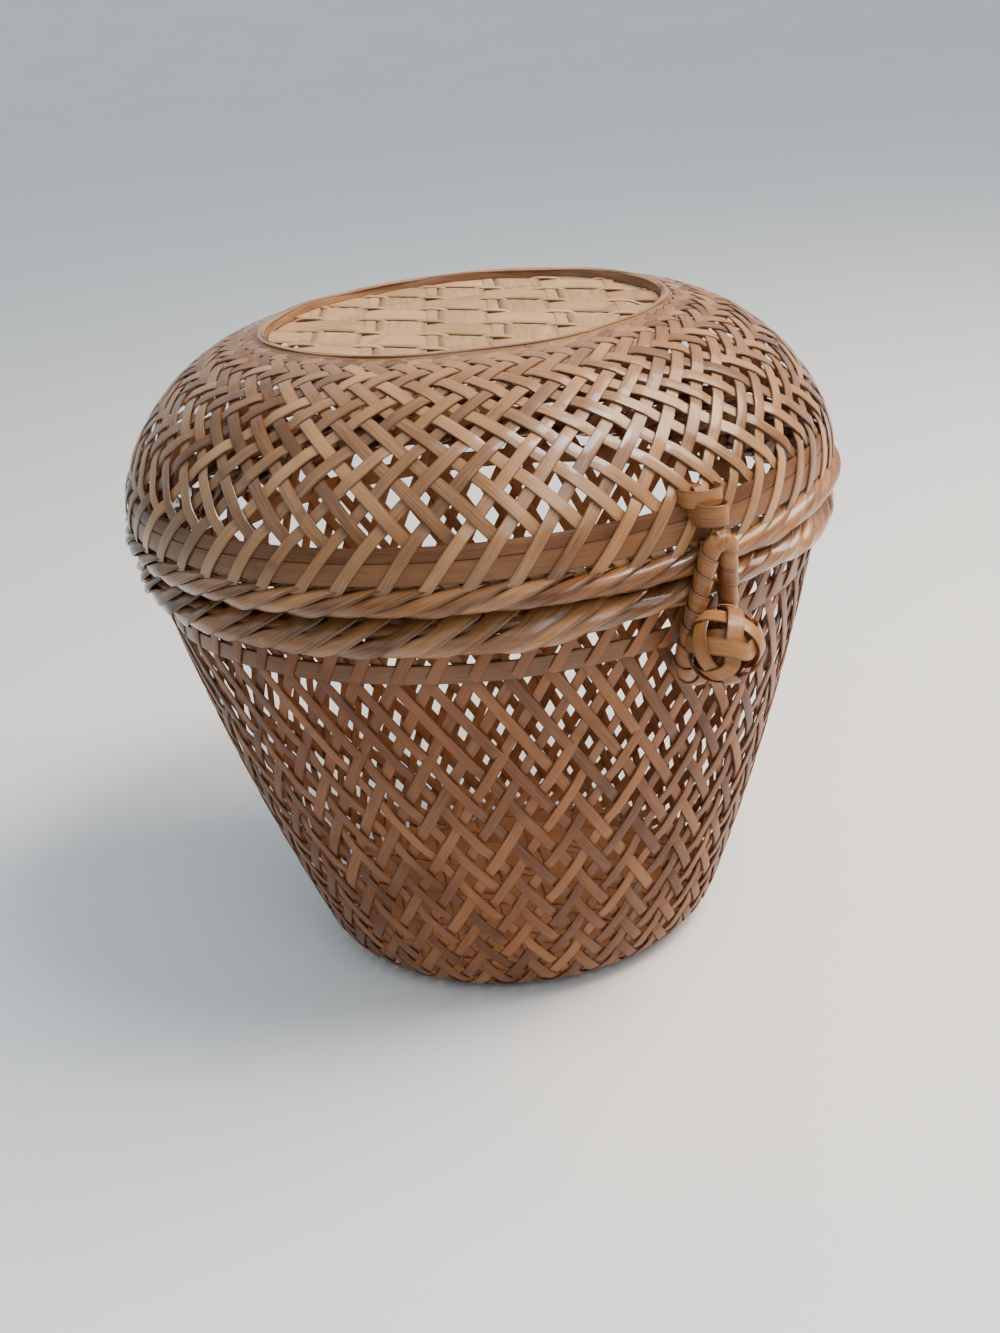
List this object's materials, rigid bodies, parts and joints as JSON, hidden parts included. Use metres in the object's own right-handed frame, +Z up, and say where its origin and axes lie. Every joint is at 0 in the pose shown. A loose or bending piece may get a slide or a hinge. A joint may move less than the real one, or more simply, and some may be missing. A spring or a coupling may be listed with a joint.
{
  "type": "lidded basket",
  "caption": "Round plaited bamboo basket with rolled rims, a domed lid tied on at the back and a loop-and-knot clasp at the front.",
  "frame": {"origin": "middle of the base, on the surface that the basket stands on", "axes": "+Z up, -Y towards the clasp at the front, +Y towards the hinge ties at the back"},
  "size_m": [0.2106, 0.2282, 0.1953],
  "materials": {
    "base_strips": "split bamboo, satin",
    "wall_strips": "split bamboo, varnished",
    "lid_strips": "split bamboo, varnished",
    "top_strips": "pale split bamboo, satin",
    "hoops": "flat bamboo hoop, varnished",
    "rims": "rolled bamboo strip, varnished",
    "cane": "round cane, varnished",
    "clasp": "wrapped cane, varnished"
  },
  "bodies": {
    "basket": {"base_strips_lower": "base_strips", "base_strips_upper": "base_strips", "wall_strips_right": "wall_strips", "wall_strips_left": "wall_strips", "body_hoop": "hoops", "body_rim_core": "cane", "body_rim_roll": "rims", "clasp_knot": "clasp", "knot_cane": "cane"},
    "lid": {"lid_top_strips_lower": "top_strips", "lid_top_strips_upper": "top_strips", "lid_top_ring": "hoops", "lid_strips_right": "lid_strips", "lid_strips_left": "lid_strips", "lid_hoop_lower": "hoops", "lid_hoop_upper": "hoops", "lid_rim_core": "cane", "lid_rim_roll": "rims", "hinge_tie_left": "cane", "hinge_tie_right": "cane", "loop_binding": "clasp"},
    "clasp_loop": {"loop_core": "cane", "loop_wrap": "clasp"}
  },
  "joints": [
    {"name": "lid_hinge", "type": "hinge", "parent": "basket", "child": "lid", "pos_m": [0, 0.0992, 0.1348], "axis": [-1, 0, 0], "range_deg": [0, 105], "deforming": ["loop_core", "loop_wrap"]},
    {"name": "loop_swing", "type": "hinge", "parent": "lid", "child": "clasp_loop", "pos_m": [0, -0.10918, 0.14866], "axis": [-1, 0, 0], "range_deg": [0, 110], "deforming": ["loop_core", "loop_wrap"]}
  ]
}
